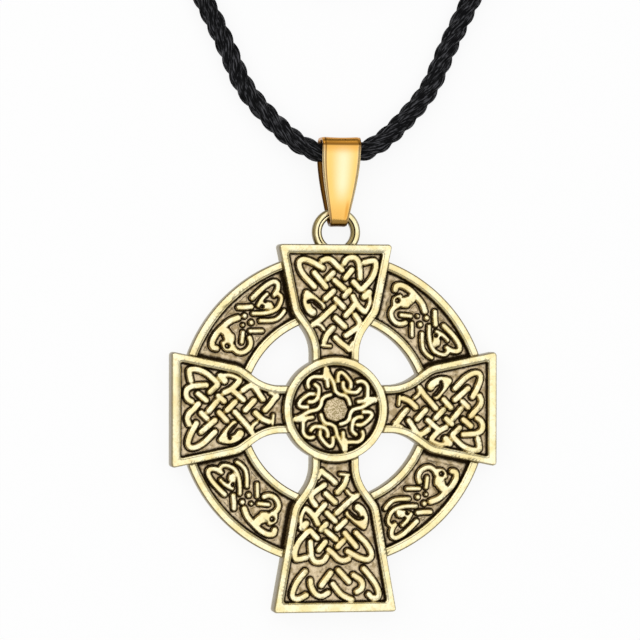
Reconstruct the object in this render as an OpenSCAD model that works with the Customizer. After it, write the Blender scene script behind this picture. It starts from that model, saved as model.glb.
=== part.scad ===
// Celtic cross pendant on a twisted rope necklace. Millimetres, +Z up.
// The pendant lies on its flat back. The origin is on that back, under the middle of the boss;
// +Y points up the cross to its loop, and +Z out of its carved face.

/* [Cross] */
// Reach of the side arms from the middle of the boss
side_reach = 19.2; // [16:0.1:24]
// Reach of the top arm
top_reach = 19.2; // [16:0.1:24]
// Reach of the foot
foot_reach = 23.6; // [19:0.1:30]
// Width across the end of the top and side arms
arm_end_w = 13.5; // [11.5:0.1:16]
// Width across the end of the foot
foot_end_w = 14.6; // [11.5:0.1:18]
// Distance from the middle of the boss to the shoulders of an arm
shoulder_reach = 11.2; // [10.4:0.1:13]
// Width across the shoulders of an arm
shoulder_w = 10.2; // [8.6:0.1:12]
// Distance from the middle of the boss to where a neck starts to widen
neck_reach = 8; // [7:0.1:8.6]
// Width of a neck
neck_w = 5.6; // [4.6:0.1:6.6]
// Radius of the round shoulder
shoulder_r = 3; // [1:0.1:3.6]
// Radius of the hollow where a neck widens
neck_r = 5; // [2:0.1:5.6]
// Radius of the corners at the end of an arm
corner_r = 0.4; // [0.1:0.1:1]
// Height of the arms above the back
arm_h = 2.8; // [2.4:0.1:4]

/* [Ring and boss] */
// Outer radius of the ring
ring_r = 18.3; // [15.2:0.1:22]
// Radius of the hole in the ring
ring_hole_r = 10.6; // [8.8:0.1:12.6]
// Height of the ring above the back
ring_h = 2.1; // [1.8:0.1:2.6]
// Outer radius of the boss
boss_r = 6.15; // [5.2:0.05:7]
// Radius of the plain disc in the middle of the boss
boss_disc_r = 1.2; // [0.8:0.05:1.5]

/* [Carving] */
// Width of the raised rims of the arms
rim_w = 0.75; // [0.5:0.05:1]
// Width of the raised rims of the ring
ring_rim_w = 0.85; // [0.6:0.05:1.2]
// Width of the raised rim of the boss
boss_rim_w = 1.05; // [0.7:0.05:1.3]
// Depth of the sunk panels below their rims
panel_d = 0.75; // [0.4:0.05:0.9]
// Height that the carved strands stand above a panel
strand_h = 0.6; // [0.3:0.05:0.75]
// Width of a carved strand
strand_w = 0.8; // [0.5:0.05:1]
// Distance between neighbouring crossings of the plait
plait_pitch = 1.75; // [1.4:0.05:2.2]

/* [Loop] */
// Sideways place of the cast loop
loop_x = 0.2; // [-0.5:0.05:0.5]
// Distance from the end of the top arm to the middle of the loop
loop_rise = 1.4; // [1.2:0.1:1.7]
// Outer radius of the loop
loop_r = 2.82; // [2.5:0.02:3.4]
// Radius of the loop's eye
loop_eye_r = 1.74; // [1.6:0.02:2]
// Height of the loop's underside above the back
loop_base = 0.95; // [0.9:0.05:1.1]
// Thickness of the loop
loop_t = 1; // [0.8:0.05:1.1]

/* [Bail] */
// Thickness of the folded strip
bail_t = 0.4; // [0.3:0.05:0.5]
// Length of the bail along Y
bail_len = 10.4; // [9:0.1:14]
// Width of the bail at its top
bail_top_w = 4.5; // [3.6:0.1:5.4]
// Width of the bail at its lower fold
bail_fold_w = 1.9; // [1.6:0.1:2]
// How far the bail's fold hangs below the top of the loop's eye
bail_drop = 0.74; // [0.7:0.02:0.84]
// Room around the loop in the lower fold, across the strip
bail_play = 0.7; // [0.6:0.05:0.9]
// Room above and below the rope in the bail
rope_play = 1.2; // [1:0.1:2]
// How far the bail hangs to the right of the loop's middle
bail_shift = 0.15; // [-0.15:0.05:0.15]

/* [Rope] */
// Diameter of the rope
rope_d = 2.4; // [2:0.1:3]
// Radius of the innermost turn of the coil
coil_r = 10.6; // [8:0.1:14]

/* [Clasp] */
// Radius of the barrel clasp
clasp_r = 2.2; // [2:0.1:2.8]
// Length of each half of the clasp
clasp_half = 8; // [6:0.1:10]
// Depth of the hole that a rope's end is glued into
clasp_socket_d = 3; // [2:0.1:4]
// Radius of the screw that joins the halves
screw_r = 1.2; // [0.8:0.1:1.4]
// Length of the screw
screw_len = 2.5; // [1.5:0.1:3]

/* [Hidden] */
$fn = 96;
arc_steps = 5;
fit = 0.05;
lap = 0.3;
tall = 10;
antique_gold = [0.86, 0.76, 0.5];
bright_gold = [0.95, 0.75, 0.32];
black = [0.09, 0.09, 0.09];

// Heights of the floors of the sunk panels
arm_floor = arm_h - panel_d;
ring_floor = ring_h - panel_d;

// Each arm of the cross: its turn, its reach and the width across its end
ARMS = [[0, top_reach, arm_end_w], [90, side_reach, arm_end_w],
        [180, foot_reach, foot_end_w], [270, side_reach, arm_end_w]];

// The bail's fold goes through the loop's eye, and its height follows the loop and the rope
loop_y = top_reach + loop_rise;
bail_x = loop_x + bail_shift;
bail_y = loop_y + loop_eye_r - bail_t - bail_drop;
bail_top = bail_y + bail_len;
fold_r = (loop_t + bail_play) / 2 + bail_t;
fold_mid = loop_base + loop_t / 2;
bail_back = 0.35;
bail_depth = rope_d + 2 * bail_t + rope_play;

// The rope sits under the bail's top. Its route is given from there: across, along, and the
// height of its underside, which is 0 where it lies on the surface below the pendant.
seat_gap = 0.25;
seat = [bail_x, bail_top - bail_t - rope_d / 2 - seat_gap];
seat_h = 1.15;
SIDE = [[2.4, 0.1, seat_h], [5.2, 1.5, 0.8], [8.3, 4.4, 0.3], [11, 7.8, 0], [13, 12.2, 0],
        [14.7, 15.7, 0], [15.7, 17.7, 0]];
TO_COIL = [[16.4, 20, 0.1], [16.9, 22.8, 0.7], [17.1, 25.9, 1.6]];
TO_CLASP = [[16.5, 19.6, 0.2], [17, 21.5, 0.7], [17.3, 23, 1], [17.5, 24.5, 1]];
TAIL = [[19.3, 42.2, 0.9], [19.1, 44.2, 0.4], [18.4, 46.2, 0.1], [17.1, 48.2, 0], [15.1, 49.9, 0],
        [12.5, 51.3, 0], [9.8, 52.1, 0], [7.4, 52.4, 0], [5, 52.5, 0]];
coil_mid = [-2, 66];
clasp_mouth = last(TO_CLASP);
clasp_turn = 84;
rope_sides = 8;

function last(list) = list[len(list) - 1];
function reversed(list) = [for (i = [len(list) - 1:-1:0]) list[i]];
function unit(v) = v / norm(v);
function mirrored(route) = [for (p = route) [-p[0], p[1], p[2]]];

// A route from the seat as points in the part's frame, on the rope's centreline
function laid(route) = [for (p = route) [seat[0] + p[0], seat[1] + p[1], p[2] + rope_d / 2]];

// The point that lies a distance along the clasp's axis from its mouth, as a route point
function on_clasp(s) = clasp_mouth + [s * cos(clasp_turn), s * sin(clasp_turn), 0];

// Corner number i of a closed outline, moved inwards by d
function inset_corner(outline, i, d) =
    let (n = len(outline),
         a = unit(outline[i] - outline[(i + n - 1) % n]),
         b = unit(outline[(i + 1) % n] - outline[i]),
         na = [-a[1], a[0]],
         nb = [-b[1], b[0]])
    outline[i] + d * (na + nb) / (1 + na * nb);
function inset(outline, d) = [for (i = [0:len(outline) - 1]) inset_corner(outline, i, d)];

// Corner number i of a closed outline as an arc of radius r that touches both its sides
function arc_corner(outline, i, r) =
    let (n = len(outline),
         back = unit(outline[(i + n - 1) % n] - outline[i]),
         ahead = unit(outline[(i + 1) % n] - outline[i]),
         half = acos(back * ahead) / 2,
         mid = outline[i] + unit(back + ahead) * r / sin(half),
         from = outline[i] + back * r / tan(half) - mid,
         to = outline[i] + ahead * r / tan(half) - mid,
         sweep = (180 - 2 * half) * (cross(from, to) > 0 ? 1 : -1))
    [for (k = [0:arc_steps])
        let (w = sweep * k / arc_steps)
        mid + [from[0] * cos(w) - from[1] * sin(w), from[0] * sin(w) + from[1] * cos(w)]];
function rounded(outline, radii) =
    [for (i = [0:len(outline) - 1])
        for (p = radii[i] > 0 ? arc_corner(outline, i, radii[i]) : [outline[i]]) p];

// An arm's outline, pointing along +Y from the middle of the boss
function arm_outline(reach, end_w) =
    [[neck_w / 2, 0], [neck_w / 2, neck_reach], [shoulder_w / 2, shoulder_reach], [end_w / 2, reach],
     [-end_w / 2, reach], [-shoulder_w / 2, shoulder_reach], [-neck_w / 2, neck_reach], [-neck_w / 2, 0]];
arm_radii = [0, neck_r, shoulder_r, corner_r, corner_r, shoulder_r, neck_r, 0];
// Inside the rim the shoulder's radius gets smaller and the neck's hollow gets larger
panel_radii = [0, neck_r + rim_w, max(shoulder_r - rim_w, 0.15), 0.15, 0.15,
               max(shoulder_r - rim_w, 0.15), neck_r + rim_w, 0];

// Half the width of an arm's panel at a distance from the boss
function panel_half(y, reach, end_w) =
    y > shoulder_reach
    ? (shoulder_w + (end_w - shoulder_w) * (y - shoulder_reach) / (reach - shoulder_reach)) / 2 - rim_w
    : max(neck_w / 2, shoulder_w / 2 - (shoulder_reach - y) * (shoulder_w - neck_w) / 2
                                       / (shoulder_reach - neck_reach)) - rim_w;

// The band of width w along a path of points, with round ends
function band(path, w) =
    let (n = len(path) - 1,
         way = [for (i = [0:n]) unit(path[min(i + 1, n)] - path[max(i - 1, 0)])],
         side = [for (v = way) [-v[1], v[0]] * w / 2])
    concat([for (i = [0:n]) path[i] - side[i]],
           [for (k = [1:arc_steps]) let (a = 180 * k / (arc_steps + 1)) path[n] - side[n] * cos(a) + way[n] * sin(a) * w / 2],
           [for (i = [n:-1:0]) path[i] + side[i]],
           [for (k = [1:arc_steps]) let (a = 180 * k / (arc_steps + 1)) path[0] + side[0] * cos(a) - way[0] * sin(a) * w / 2]);

// Points of an arc about mid, of radius r, from angle a to angle b
function arc(mid, r, a, b, steps = 6) =
    [for (k = [0:steps]) let (w = a + (b - a) * k / steps) mid + r * [cos(w), sin(w)]];

module strand(path, floor_z) {
    translate([0, 0, floor_z - lap]) linear_extrude(strand_h + lap) polygon(band(path, strand_w));
}

// A plait as cast: short bars that slant left and right in turn, with a loop over each end
module plait(reach, end_w) {
    bar = plait_pitch * 0.46;
    first = boss_r + plait_pitch * 0.75;
    rows = floor((reach - rim_w - first) / plait_pitch);
    for (row = [0:rows - 1]) {
        y = first + row * plait_pitch;
        room = panel_half(y - bar / 2, reach, end_w) - strand_w * 0.9;
        across = floor(room / plait_pitch * 2);
        for (col = [-across:2:across]) {
            x = col * plait_pitch / 2;
            lean = (row + (col + across) / 2) % 2 == 0 ? 1 : -1;
            if (abs(x) + bar * 0.7 < room + 0.2)
                strand([[x - lean * bar / 2, y - bar / 2], [x + lean * bar / 2, y + bar / 2]], arm_floor);
        }
    }
}

// The creature in a ring panel, reduced to its body, tail, petals and beads, about the panel's middle
module ring_panel() {
    mid_r = (ring_r + ring_hole_r) / 2;
    bead_r = strand_w * 0.55;
    bead_step = strand_w * 1.05;
    rotate(45) translate([mid_r, 0, 0]) {
        for (k = [0:3]) rotate(90 * k) translate([bead_step * 0.8, 0, ring_floor - lap])
            cylinder(r = bead_r, h = strand_h + lap);
        for (side = [-1, 1]) {
            strand([[side * 1.7, side * 0.6], [side * 1.7, side * 0.6 - side * 1.9]], ring_floor);
            rotate(side > 0 ? 0 : 180) {
                strand(arc([-0.9, 3.4], 1.5, -60, 190), ring_floor);
                strand(arc([-4.6, 1.4], 5.6, -4, 34), ring_floor);
            }
        }
    }
}

// One quarter of the boss's knot: an S-shaped strand and a leaf
module boss_quarter() {
    r = boss_r - boss_rim_w;
    strand(concat(arc([0, r * 0.72], r * 0.2, 200, 20), arc([r * 0.42, r * 0.62], r * 0.22, 160, 330)), arm_floor);
    strand(arc([0, 0], r * 0.42, 20, 75), arm_floor);
}

module arm_body(reach, end_w) {
    linear_extrude(arm_h) polygon(rounded(arm_outline(reach, end_w), arm_radii));
}

module arm_panel(reach, end_w) {
    difference() {
        translate([0, 0, arm_floor])
            linear_extrude(tall) polygon(rounded(inset(arm_outline(reach, end_w), rim_w), panel_radii));
        cylinder(r = boss_r, h = 3 * tall, center = true);
    }
}

// The ring, with a sunk band between its rims
module ring() {
    difference() {
        cylinder(r = ring_r, h = ring_h);
        translate([0, 0, -1]) cylinder(r = ring_hole_r, h = tall);
        translate([0, 0, ring_floor]) difference() {
            cylinder(r = ring_r - ring_rim_w, h = tall);
            translate([0, 0, -1]) cylinder(r = ring_hole_r + ring_rim_w, h = 2 * tall);
        }
    }
}

// The cast loop that the bail goes through. Its root runs into the top arm.
module loop() {
    translate([loop_x, loop_y, loop_base]) difference() {
        cylinder(r = loop_r, h = loop_t);
        translate([0, 0, -1]) cylinder(r = loop_eye_r, h = tall);
    }
}

module cross_casting() {
    color(antique_gold) union() {
        difference() {
            union() {
                ring();
                loop();
                for (a = ARMS) rotate(a[0]) arm_body(a[1], a[2]);
                cylinder(r = boss_r, h = arm_h);
            }
            for (a = ARMS) rotate(a[0]) arm_panel(a[1], a[2]);
            translate([0, 0, arm_floor]) cylinder(r = boss_r - boss_rim_w, h = tall);
        }
        for (a = ARMS) rotate(a[0]) plait(a[1], a[2]);
        for (k = [0:3]) rotate(90 * k) {
            ring_panel();
            boss_quarter();
        }
        translate([0, 0, arm_floor - lap]) cylinder(r = boss_disc_r, h = strand_h + lap);
    }
}

// The bail's outline from the side, as [y, z]: a fold below, and a higher roll for the rope above
function bail_side() =
    [[bail_y, fold_mid - fold_r], [bail_top, bail_back], [bail_top, bail_back + bail_depth],
     [bail_y, fold_mid + fold_r]];
bail_radii = [fold_r * 0.96, 1.6, 1, fold_r * 0.96];

// Half the bail's width at a share of its length: full at the roll, and narrow at the fold
function bail_half(share) =
    (bail_fold_w + (bail_top_w - bail_fold_w) * pow(sin(90 * min(1, share / 0.85)), 1.2)) / 2;

// A folded strip: the band between two outlines from the side, cut to its tapering front outline
module bail() {
    steps = 16;
    edge = [for (k = [0:steps]) [bail_half(k / steps), bail_y + bail_len * k / steps]];
    front = concat([[bail_fold_w / 2, bail_y - 1]], edge, [[bail_top_w / 2, bail_top + 1]]);
    color(bright_gold) translate([bail_x, 0, 0]) intersection() {
        rotate([90, 0, 90]) translate([0, 0, -tall]) linear_extrude(2 * tall) difference() {
            polygon(rounded(bail_side(), bail_radii));
            polygon(rounded(inset(bail_side(), bail_t), [for (r = bail_radii) r - bail_t]));
        }
        translate([0, 0, -tall]) linear_extrude(3 * tall)
            polygon(concat(front, [for (p = reversed(front)) [-p[0], p[1]]]));
    }
}

// A tube of the rope's diameter along a path of points
module tube(path) {
    n = len(path) - 1;
    rings = [for (i = [0:n])
        let (way = unit(path[min(i + 1, n)] - path[max(i - 1, 0)]),
             side = unit([-way[1], way[0], 0]),
             up = cross(way, side))
        for (k = [0:rope_sides - 1])
            let (a = 360 * (k + 0.5) / rope_sides)
            path[i] + (side * cos(a) + up * sin(a)) * rope_d / 2];
    walls = [for (i = [0:n - 1]) for (k = [0:rope_sides - 1])
        let (a = i * rope_sides + k, b = i * rope_sides + (k + 1) % rope_sides)
        [a, a + rope_sides, b + rope_sides, b]];
    first = [for (k = [0:rope_sides - 1]) k];
    end = [for (k = [rope_sides - 1:-1:0]) n * rope_sides + k];
    color(black) polyhedron(points = rings, faces = concat(walls, [first], [end]));
}

// From the coil, down the left leg, through the bail and up the right leg into the clasp's plug
module rope() {
    left = reversed(mirrored(concat(SIDE, TO_COIL)));
    tube(laid(concat(left, [[0, 0, seat_h]], SIDE, TO_CLASP, [on_clasp(clasp_socket_d)])));
}

// From the clasp's socket round to the coil
module rope_tail() {
    far = 2 * clasp_half;
    tube(laid(concat([on_clasp(far - clasp_socket_d), on_clasp(far)], TAIL)));
}

// The outer shape of the wound rope: three turns side by side, and two in the hollows on them
module rope_coil() {
    r = rope_d / 2;
    inner = coil_r - r;
    outer = coil_r + 2 * rope_d + r;
    top = rope_d * (1 + sqrt(3) / 2);
    color(black) translate([coil_mid[0], coil_mid[1], 0]) rotate_extrude()
        polygon([[inner, 0], [outer, 0], [outer, rope_d], [outer - r, top], [inner + r, top], [inner, rope_d]]);
}

// Places a piece whose axis is +Z along the clasp, a distance from its mouth
module along_clasp(s) {
    p = on_clasp(s);
    translate([seat[0] + p[0], seat[1] + p[1], clasp_r]) rotate([0, 90, clasp_turn]) children();
}

// Half a barrel, from its mouth at Z = 0 to the joint, with the hole that the rope's end fills
module clasp_barrel() {
    lip = 0.5;
    difference() {
        union() {
            cylinder(r = clasp_r - lip, h = lip);
            translate([0, 0, lip]) cylinder(r = clasp_r, h = clasp_half - lip);
        }
        translate([0, 0, -1]) cylinder(r = rope_d / 2 + fit, h = clasp_socket_d + 1);
    }
}

module clasp_plug() {
    color(bright_gold) along_clasp(0) union() {
        clasp_barrel();
        translate([0, 0, clasp_half - lap]) cylinder(r = screw_r, h = screw_len + lap);
    }
}

module clasp_socket() {
    color(bright_gold) along_clasp(2 * clasp_half) rotate([180, 0, 0]) difference() {
        clasp_barrel();
        translate([0, 0, clasp_half - screw_len - fit]) cylinder(r = screw_r + fit, h = tall);
    }
}

cross_casting();  // cross
bail();
rope();
rope_tail();
rope_coil();
clasp_plug();
clasp_socket();
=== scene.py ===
"""Celtic cross pendant on a twisted rope necklace, lying on its back on a pale floor.

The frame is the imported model's: the origin is on the flat back, under the middle of the boss,
+Y runs up the cross to its loop and +Z out of its carved face. Sizes in this file are in
millimetres, and a mesh is turned into metres when it is made.
"""

import logging
import math
from collections.abc import Callable, Sequence
from dataclasses import dataclass
from enum import Enum
from typing import ClassVar

import bpy
import numpy as np
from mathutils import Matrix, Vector, geometry

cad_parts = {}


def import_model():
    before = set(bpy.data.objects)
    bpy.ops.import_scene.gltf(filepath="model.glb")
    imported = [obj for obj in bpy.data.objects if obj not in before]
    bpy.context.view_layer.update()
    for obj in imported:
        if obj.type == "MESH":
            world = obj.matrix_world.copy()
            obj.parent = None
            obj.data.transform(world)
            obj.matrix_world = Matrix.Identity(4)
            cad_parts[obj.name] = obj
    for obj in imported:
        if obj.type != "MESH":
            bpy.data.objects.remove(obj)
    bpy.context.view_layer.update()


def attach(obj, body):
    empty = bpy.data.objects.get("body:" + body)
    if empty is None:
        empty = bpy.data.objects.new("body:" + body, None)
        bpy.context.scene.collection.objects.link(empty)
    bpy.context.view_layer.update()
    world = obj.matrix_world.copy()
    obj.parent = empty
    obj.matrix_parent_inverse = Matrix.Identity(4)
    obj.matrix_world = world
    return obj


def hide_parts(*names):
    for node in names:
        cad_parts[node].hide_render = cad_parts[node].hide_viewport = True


LOG = logging.getLogger("pendant")
MM = 0.001
WHITE = "#FFFFFF"
# The edge distance that marks the boss's middle disc, more than any real one
DISC_MARK = 2.0
# A distance that is as good as endless, and one that is safe to divide by
FAR = 9.0
TINY = 1e-12
# The least share of a lattice side that a cut may leave
SLIVER = 0.2

Point = tuple[float, ...]
Route = tuple[Point, ...]


class Slot(Enum):
    """The material slots of the record."""

    CASTING = "antique_gold_casting"
    PLATE = "bright_gold_plate"
    ROPE = "black_rope"


# ---- Shapes in the plane ----


def ramp(value: np.ndarray, start: float, end: float) -> np.ndarray:
    """A smooth step: 0 up to start, 1 from end on, and 3t^2 - 2t^3 in between.

    Args:
        value: The values to step.
        start: Where the step starts.
        end: Where the step ends.

    Returns:
        An array from 0 to 1.
    """
    share = np.clip((value - start) / (end - start), 0.0, 1.0)
    return share * share * (3.0 - 2.0 * share)


def unit(vectors: np.ndarray) -> np.ndarray:
    """The vectors at a length of 1."""
    return vectors / np.maximum(np.linalg.norm(vectors, axis=-1, keepdims=True), TINY)


def run_along(line: np.ndarray) -> np.ndarray:
    """The length of a line of points from its start to each of them."""
    return np.concatenate([[0.0], np.cumsum(np.linalg.norm(np.diff(line, axis=0), axis=1))])


def resampled(line: np.ndarray, stops: np.ndarray) -> np.ndarray:
    """The points of a line that lie at the given lengths from its start."""
    run = run_along(line)
    return np.stack([np.interp(stops, run, axis) for axis in line.T], axis=1)


def smooth_path(points: Sequence[Point], step: float) -> np.ndarray:
    """A Catmull-Rom curve through the points, put at even steps along its length.

    Args:
        points: The points, of two or three coordinates.
        step: The distance between neighbouring points of the result.

    Returns:
        An array with one point to a row.
    """
    knots = np.asarray(points, dtype=float)
    if len(knots) > 2:
        before, after = 2 * knots[0] - knots[1], 2 * knots[-1] - knots[-2]
        wide = np.vstack([before, knots, after])
        t = np.linspace(0.0, 1.0, 12, endpoint=False)[:, None, None]
        p0, p1, p2, p3 = (wide[i : len(wide) - 3 + i] for i in range(4))
        curve = 0.5 * (
            2 * p1
            + (p2 - p0) * t
            + (2 * p0 - 5 * p1 + 4 * p2 - p3) * t**2
            + (3 * p1 - p0 - 3 * p2 + p3) * t**3
        )
        knots = np.vstack([curve.transpose(1, 0, 2).reshape(-1, knots.shape[1]), knots[-1]])
    whole = run_along(knots)[-1]
    return resampled(knots, np.linspace(0.0, whole, max(2, round(whole / step) + 1)))


def rounded(corners: np.ndarray, radii: Sequence[float], inset: float = 0.0) -> list[np.ndarray]:
    """The arcs that round off a closed outline's corners and touch both sides at each.

    With half the corner's angle as h, an arc's middle is radius / sin(h) from the corner on its
    bisector, the arc starts radius / tan(h) back along the side, and it turns by pi - 2h.

    Args:
        corners: The outline's corners in order.
        radii: Each corner's radius, or 0 for a sharp one.
        inset: How far inside the outline the arcs are drawn, about the same middles.

    Returns:
        For each corner, the points of its arc.
    """
    arcs = []
    for i, radius in enumerate(radii):
        corner, before, after = corners[i], corners[i - 1], corners[(i + 1) % len(corners)]
        if radius == 0:
            arcs.append(corner[None])
            continue
        back, ahead = unit(before - corner), unit(after - corner)
        half = math.acos(float(back @ ahead)) / 2
        middle = corner + unit(back + ahead) * radius / math.sin(half)
        start = corner + back * radius / math.tan(half) - middle
        end = corner + ahead * radius / math.tan(half) - middle
        sweep = (math.pi - 2 * half) * np.sign(start[0] * end[1] - start[1] * end[0])
        w = np.linspace(0.0, sweep, 9)
        arc = np.stack([start[0] * np.cos(w) - start[1] * np.sin(w),
                        start[0] * np.sin(w) + start[1] * np.cos(w)], axis=1)
        arcs.append(middle + arc * ((radius - inset) / radius))
    return arcs


def path_distance(at: np.ndarray, path: np.ndarray) -> np.ndarray:
    """The distance from each point to the nearest of a path's straight stretches.

    Args:
        at: The points, one to a row.
        path: The path's points in order.

    Returns:
        One distance for each point.
    """
    start, way = path[:-1], np.diff(path, axis=0)
    offset = at[:, None, :] - start[None]
    along = (offset * way).sum(2) / np.maximum((way * way).sum(1), TINY)
    gap = offset - np.clip(along, 0.0, 1.0)[:, :, None] * way
    return np.sqrt((gap * gap).sum(2).min(1))


def turned(at: np.ndarray, degrees: float) -> np.ndarray:
    """Points turned counterclockwise about the origin.

    Args:
        at: The points, one to a row.
        degrees: The angle.

    Returns:
        The turned points.
    """
    angle = math.radians(degrees)
    c, s = math.cos(angle), math.sin(angle)
    return at @ np.array([[c, s], [-s, c]])


@dataclass(frozen=True)
class Strand:
    """A raised band of the carving, or with raised=False a slit cut into raised bands."""

    path: Route
    width: float = 0.78
    raised: bool = True
    # The length of a straight stretch, and how far past the band's edge its distance is worked out
    stretch: ClassVar[float] = 0.2
    margin: ClassVar[float] = 1.0

    def distance(self, at: np.ndarray) -> np.ndarray:
        """Distance of each point outside the band's edge, negative inside it.

        Args:
            at: The points, one to a row.

        Returns:
            One distance for each point, and FAR where the band isn't near.
        """
        path = smooth_path(self.path, self.stretch) if len(self.path) > 1 else np.array(self.path * 2)
        reach = self.width / 2 + self.margin
        near = ((at > path.min(0) - reach) & (at < path.max(0) + reach)).all(1)
        result = np.full(len(at), FAR)
        if near.any():
            result[near] = path_distance(at[near], path) - self.width / 2
        return result


@dataclass(frozen=True)
class Carving:
    """A set of strands in a frame of their own."""

    strands: tuple[Strand, ...]

    def distance(self, at: np.ndarray) -> np.ndarray:
        """The least distance to a raised band, less what the slits take away.

        Args:
            at: The points in the carving's frame.

        Returns:
            One distance for each point, negative on the raised bands.
        """
        result = np.full(len(at), FAR)
        for strand in self.strands:
            if strand.raised:
                result = np.minimum(result, strand.distance(at))
        for strand in self.strands:
            if not strand.raised:
                result = np.maximum(result, -strand.distance(at))
        return result


# ---- The knotwork ----

# An arm's interlace, with +Y outwards from the boss
ARM_KNOT = Carving((
    Strand(((-1.5, 16.3), (-2.4, 16.8), (-3.2, 17.15), (-3.9, 17.25), (-4.3, 16.9), (-4.2, 16.2),
            (-3.7, 15.4), (-3.1, 14.8), (-2.5, 14.2))),
    Strand(((-2.5, 15.75), (-1.15, 14.2))),
    Strand(((-1.6, 17.15), (-1.0, 17.35), (-0.4, 17.15), (0.15, 16.6), (0.75, 16.1))),
    Strand(((1.0, 16.85), (1.3, 17.3), (1.8, 17.5), (2.4, 17.4), (2.75, 16.85), (2.85, 16.1), (2.9, 15.2))),
    Strand(((3.4, 16.95), (4.1, 17.1), (4.65, 17.1), (4.75, 16.6), (4.65, 16.0), (4.3, 15.2),
            (3.7, 14.5), (3.0, 13.9), (2.55, 14.3), (2.1, 14.75))),
    Strand(((-0.3, 15.75), (-0.95, 15.1))),
    Strand(((1.9, 16.1), (1.15, 15.2))),
    Strand(((-0.1, 14.9), (1.0, 14.0))),
    Strand(((-0.25, 13.7), (-1.2, 12.85))),
    Strand(((1.65, 13.8), (1.05, 13.15))),
    Strand(((0.0, 12.8), (0.95, 11.9))),
    Strand(((0.0, 10.7), (1.1, 9.7))),
    Strand(((-3.4, 13.5), (-2.7, 13.0), (-2.1, 12.5), (-1.5, 12.0))),
    Strand(((-3.4, 13.2), (-3.45, 12.4), (-3.1, 11.6), (-2.7, 11.3)), 1.0),
    Strand(((-3.2, 12.5), (-2.6, 12.55), (-1.9, 12.0), (-1.7, 11.6)), 0.3, raised=False),
    Strand(((-0.2, 11.9), (-1.0, 11.2), (-1.8, 10.5), (-2.6, 9.95))),
    Strand(((-2.4, 10.0), (-1.8, 9.85), (-1.4, 9.4)), 0.55),
    Strand(((2.05, 13.1), (2.4, 12.4), (2.9, 11.8), (3.4, 11.4))),
    Strand(((2.3, 12.2), (1.8, 11.6), (1.2, 10.95))),
    Strand(((3.95, 13.55), (3.4, 13.1)), 0.9),
    Strand(((4.0, 13.4), (4.05, 12.6), (3.85, 11.9), (3.5, 11.3)), 0.6),
    Strand(((2.3, 11.0), (2.8, 10.3), (2.75, 9.75), (2.3, 9.4), (1.25, 8.7))),
    Strand(((-0.3, 9.55), (-1.0, 8.8), (-1.35, 8.0))),
    Strand(((-1.6, 7.6), (-0.6, 7.5)), 0.5),
    Strand(((0.0, 8.45), (0.6, 7.9), (1.3, 7.4), (1.6, 7.1))),
    Strand(((1.6, 7.2), (2.0, 7.9)), 0.5),
))

# The foot's extra row of loops
FOOT_ROW = Carving((
    Strand(((-4.0, 21.4), (-4.4, 21.8), (-5.0, 21.8), (-5.2, 21.3), (-4.9, 20.4), (-4.3, 19.5),
            (-3.4, 18.4))),
    Strand(((-2.6, 21.1), (-3.1, 20.75), (-3.25, 20.2), (-3.0, 19.7), (-2.2, 19.15))),
    Strand(((-1.65, 19.9), (-0.4, 18.55))),
    Strand(((-2.0, 22.0), (-0.9, 21.5), (-0.2, 20.75), (0.25, 20.15))),
    Strand(((0.8, 21.15), (1.6, 21.55), (2.35, 21.2), (2.8, 20.4), (2.9, 19.7))),
    Strand(((1.6, 20.3), (0.5, 18.85))),
    Strand(((3.4, 21.4), (4.2, 21.8), (4.9, 21.7), (5.0, 21.1), (4.5, 19.9), (3.5, 18.65))),
))

# The two creatures of a ring panel, with +Y outwards through the panel's middle
RING_BEASTS = Carving((
    # The left creature: its arched back, head, jaw and tongue
    Strand(((-0.4, 15.5), (-1.3, 15.9), (-2.4, 16.0), (-3.5, 16.0), (-4.5, 15.7), (-4.9, 15.2),
            (-4.7, 14.8)), 0.8),
    Strand(((-2.6, 15.4), (-2.7, 14.8), (-3.0, 14.4)), 1.2),
    Strand(((-3.7, 14.6), (-3.9, 14.0), (-3.5, 13.5)), 0.7),
    Strand(((-2.4, 14.5), (-3.0, 13.9), (-3.3, 13.3), (-3.2, 12.6), (-2.7, 12.2), (-2.0, 12.1), (-1.4, 12.4),
            (-1.1, 12.9)), 0.7),
    Strand(((-3.3, 15.4), (-4.1, 15.2)), 0.4, raised=False),
    Strand(((-3.6, 14.1),), 0.5, raised=False),
    Strand(((-2.1, 13.8), (-2.7, 13.7)), 0.3, raised=False),
    Strand(((-1.2, 13.9), (-2.1, 13.2)), 0.6),
    # The beads and bars between the two
    Strand(((0.3, 15.1),), 0.7),
    Strand(((-0.6, 14.5),), 0.5),
    Strand(((0.3, 14.0),), 0.7),
    Strand(((-0.5, 13.4), (0.5, 12.4)), 0.6),
    Strand(((0.5, 16.3), (1.0, 15.8), (1.6, 15.3)), 0.7),
    # The right creature: its crest, face, chin and body
    Strand(((2.4, 15.9), (3.5, 15.9), (4.6, 15.8), (5.5, 15.5), (5.7, 15.0), (5.2, 14.5), (4.5, 14.3)), 0.7),
    Strand(((4.9, 14.1), (4.9, 13.6), (4.4, 13.2), (3.6, 13.0), (2.7, 13.3), (1.9, 13.9), (1.2, 14.6)), 0.6),
    Strand(((2.3, 14.8), (3.1, 15.0), (3.9, 15.0)), 0.6),
    Strand(((2.7, 14.5), (3.2, 13.8)), 1.0),
    Strand(((2.5, 14.4),), 0.4, raised=False),
    Strand(((3.2, 14.6), (3.9, 14.6), (3.9, 14.1), (3.7, 13.5)), 0.3, raised=False),
    Strand(((4.4, 13.9), (3.8, 13.6)), 0.3, raised=False),
    Strand(((1.2, 13.4), (1.9, 12.7), (2.6, 12.2), (3.4, 12.1), (4.0, 12.2)), 0.6),
))

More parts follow.
